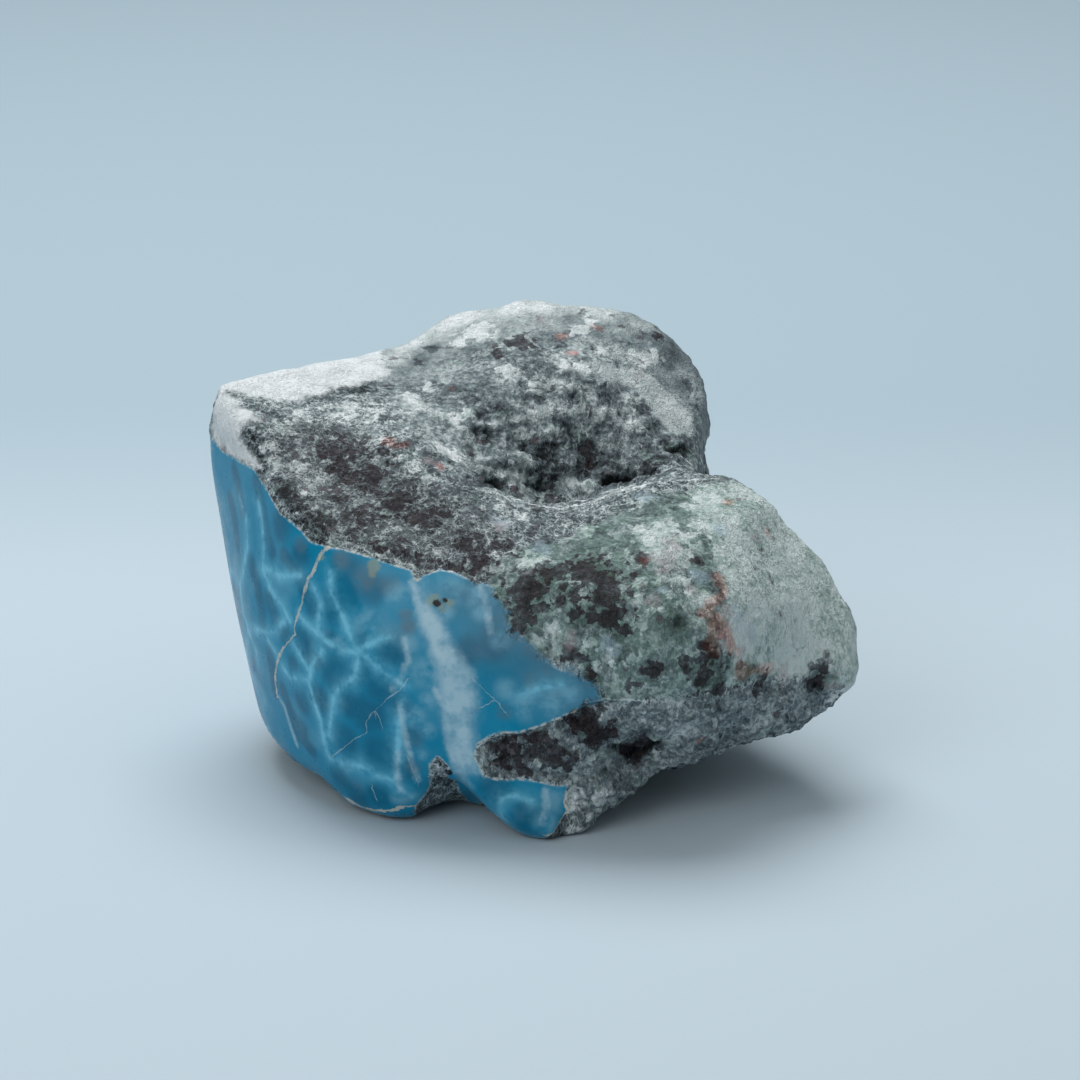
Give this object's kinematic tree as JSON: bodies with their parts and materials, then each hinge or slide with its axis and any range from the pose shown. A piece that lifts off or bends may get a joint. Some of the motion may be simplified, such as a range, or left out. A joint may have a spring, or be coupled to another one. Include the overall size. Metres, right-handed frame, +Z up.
{
  "type": "rough larimar",
  "caption": "Natural lump of larimar, polished blue on one side and left as rough host rock on the others, lying on a flat underside.",
  "frame": {"origin": "under the middle of the stone, on the surface that it rests on", "axes": "+Z up, the polished blue face looks towards -Y, +X to the right of that face along the stone's longest side"},
  "size_m": [0.0792, 0.0646, 0.0513],
  "materials": {
    "larimar_in_host_rock": "blue larimar polished by hand on the front and back left, dull worn and freshly broken grey-green host rock elsewhere"
  },
  "bodies": {
    "root": {"larimar_stone": "larimar_in_host_rock"}
  },
  "joints": []
}
